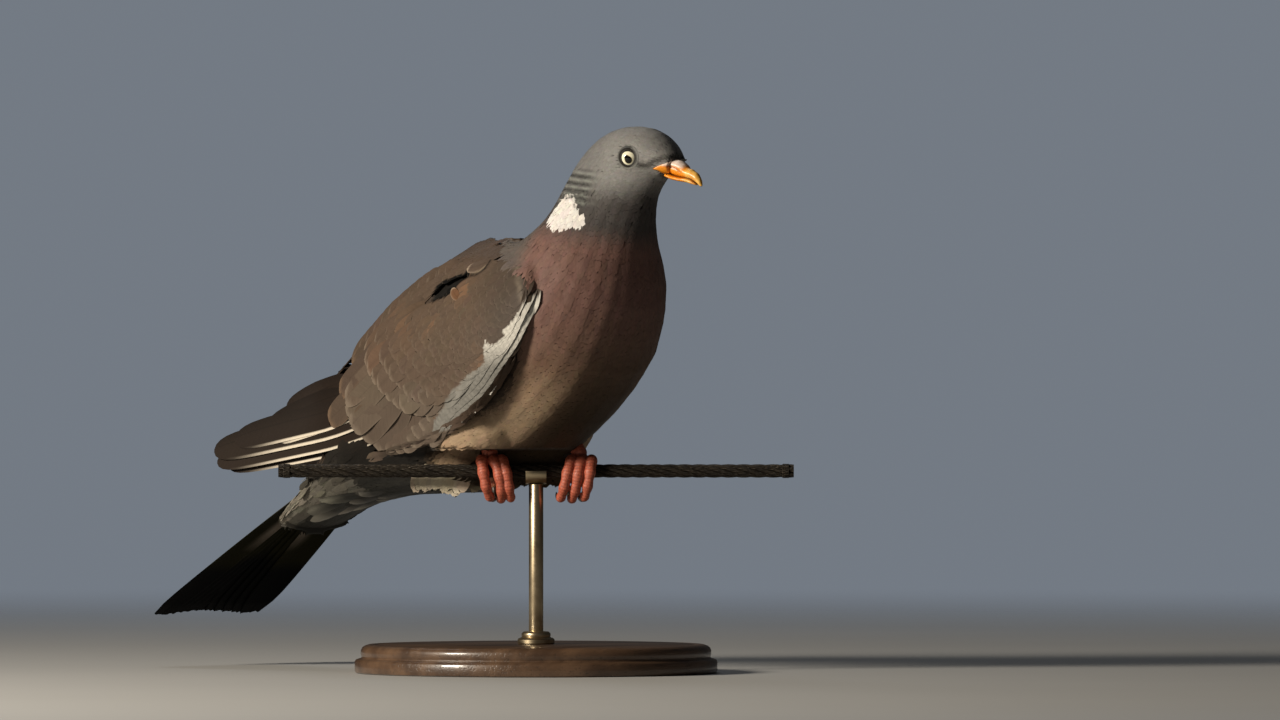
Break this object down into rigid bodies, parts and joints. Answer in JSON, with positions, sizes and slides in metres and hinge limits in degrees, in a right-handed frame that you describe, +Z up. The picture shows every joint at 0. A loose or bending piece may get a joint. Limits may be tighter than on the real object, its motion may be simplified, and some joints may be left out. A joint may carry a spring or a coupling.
{
  "type": "wood pigeon",
  "caption": "Life-size still model of a wood pigeon crouched across a cut length of wire rope, wings folded and tail drooped, on a plain round stand with one rod.",
  "frame": {"origin": "centre of the stand base's flat underside, on the floor, below the middle of the perch", "axes": "+Z up; the bird faces -Y, with its bill at the low Y end and its tail tip at the high Y end, and its left side is to +X; the perch rope runs level, turned 43.5 degrees from the bird's heading, towards +X and -Y"},
  "size_m": [0.1764, 0.339, 0.2643],
  "materials": {
    "head_feathers": "fine soft feathers, blue-grey",
    "breast_feathers": "soft feathers, wine-pink breast to buff-grey belly",
    "wing_feathers": "smooth firm feathers, grey-brown with a white band",
    "tail_feathers": "smooth firm feathers, grey above, black at the end",
    "bill": "horn with a soft cere, orange to yellow, satin",
    "eye": "glossy eye, pale yellow iris and black pupil",
    "feet": "scaled skin, coral red",
    "claws": "dark horn",
    "perch_rope": "weathered twisted steel strands",
    "stand_wood": "dark turned wood, satin varnish",
    "stand_metal": "brushed, aged"
  },
  "bodies": {
    "root": {"head": "head_feathers", "neck": "breast_feathers", "trunk": "breast_feathers", "thigh_left": "breast_feathers", "thigh_right": "breast_feathers", "wing_left": "wing_feathers", "wing_right": "wing_feathers", "tail": "tail_feathers", "bill_upper": "bill", "bill_lower": "bill", "eye_left": "eye", "eye_right": "eye", "foot_left": "feet", "foot_right": "feet", "claw_inner_left": "claws", "claw_middle_left": "claws", "claw_outer_left": "claws", "claw_hind_left": "claws", "claw_inner_right": "claws", "claw_middle_right": "claws", "claw_outer_right": "claws", "claw_hind_right": "claws", "perch_rope": "perch_rope", "stand_base": "stand_wood", "stand_rod": "stand_metal", "stand_collar": "stand_metal", "stand_saddle": "stand_metal"}
  },
  "joints": []
}
